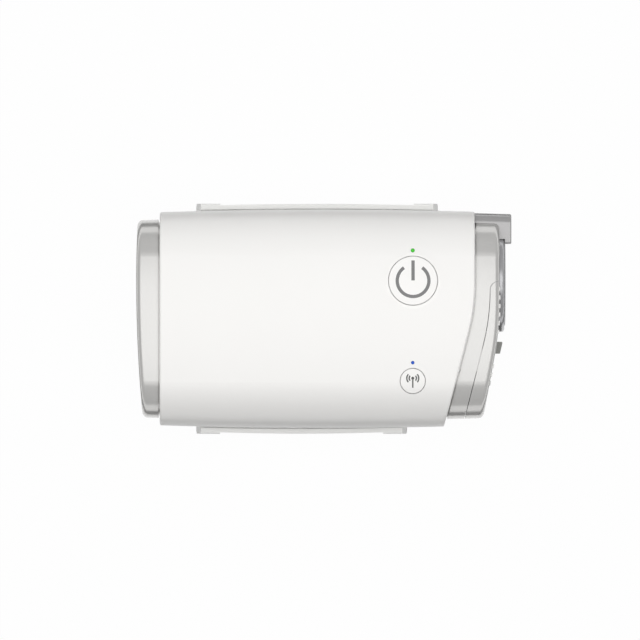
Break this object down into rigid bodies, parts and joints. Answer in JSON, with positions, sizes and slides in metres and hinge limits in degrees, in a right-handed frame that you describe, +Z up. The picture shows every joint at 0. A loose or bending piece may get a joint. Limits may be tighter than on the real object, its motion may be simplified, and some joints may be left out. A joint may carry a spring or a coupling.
{
  "type": "cpap machine",
  "caption": "Travel CPAP machine with a white sleeve, light grey end caps and foot rails, two top buttons, an air outlet and a pull-off filter cover.",
  "frame": {"origin": "middle of the surface that the foot rails stand on, at the centre of the bounding box", "axes": "+X along the body towards the air outlet, +Y towards the power inlet's side, +Z up out of the button face"},
  "size_m": [0.1352, 0.0832, 0.052],
  "materials": {
    "white_abs": "satin",
    "pale_grey_abs": "satin",
    "rail_elastomer": "matt",
    "smoke_polycarbonate": "glossy",
    "grey_abs": "glossy",
    "tab_grey": "satin",
    "seal_silicone": "matt",
    "filter_fleece": "matt",
    "acoustic_foam": "matt",
    "green_light": "glossy",
    "blue_light": "glossy",
    "black_plastic": "satin",
    "board_laminate": "satin",
    "plated_steel": "brushed",
    "pin_nickel": "polished",
    "impeller_plastic": "satin",
    "winding_copper": "satin"
  },
  "bodies": {
    "housing": {"outer_sleeve": "white_abs", "closed_end_cap": "pale_grey_abs", "outlet_end_cap": "pale_grey_abs", "outlet_collar": "smoke_polycarbonate", "outlet_seal": "seal_silicone", "power_inlet_yoke": "grey_abs", "power_inlet_jack": "black_plastic", "power_inlet_pin": "pin_nickel", "rear_foot_rail": "rail_elastomer", "front_foot_rail": "rail_elastomer", "power_light_guide": "green_light", "wireless_light_guide": "blue_light", "switch_housings": "black_plastic", "indicator_leds": "impeller_plastic", "main_circuit_board": "board_laminate", "radio_module": "plated_steel", "board_capacitors": "plated_steel", "board_connectors": "impeller_plastic", "pressure_sensor": "black_plastic", "board_screws": "plated_steel", "chassis_cradle": "pale_grey_abs", "chassis_screws": "plated_steel", "outlet_cap_screws": "plated_steel", "blower_lower_housing": "black_plastic", "blower_upper_housing": "black_plastic", "blower_screws": "plated_steel", "blower_isolators": "seal_silicone", "stator_core": "plated_steel", "stator_windings": "winding_copper", "motor_bearings": "plated_steel", "outlet_duct": "seal_silicone", "inlet_foam": "acoustic_foam"},
    "power_button": {"power_button": "white_abs", "power_switch_plunger": "black_plastic"},
    "wireless_button": {"wireless_button": "white_abs", "wireless_switch_plunger": "black_plastic"},
    "filter_cover": {"filter_cover": "pale_grey_abs", "filter_cover_tab": "tab_grey", "air_filter": "filter_fleece"},
    "rotor": {"impeller": "impeller_plastic", "rotor_shaft": "plated_steel", "rotor_cup": "plated_steel", "rotor_magnets": "plated_steel"}
  },
  "joints": [
    {"name": "power_button_press", "type": "slide", "parent": "housing", "child": "power_button", "axis": [0, 0, -1], "range_m": [0, 0.0005], "stiffness_N_per_m": 400, "springref_m": -0.001},
    {"name": "wireless_button_press", "type": "slide", "parent": "housing", "child": "wireless_button", "axis": [0, 0, -1], "range_m": [0, 0.0005], "stiffness_N_per_m": 400, "springref_m": -0.001},
    {"name": "filter_cover_pull", "type": "slide", "parent": "housing", "child": "filter_cover", "axis": [1, 0, 0], "range_m": [0, 0.014]},
    {"name": "rotor_spin", "type": "hinge", "parent": "housing", "child": "rotor", "pos_m": [-0.016, -0.0055, 0.02], "axis": [0, 0, 1], "continuous": true}
  ]
}
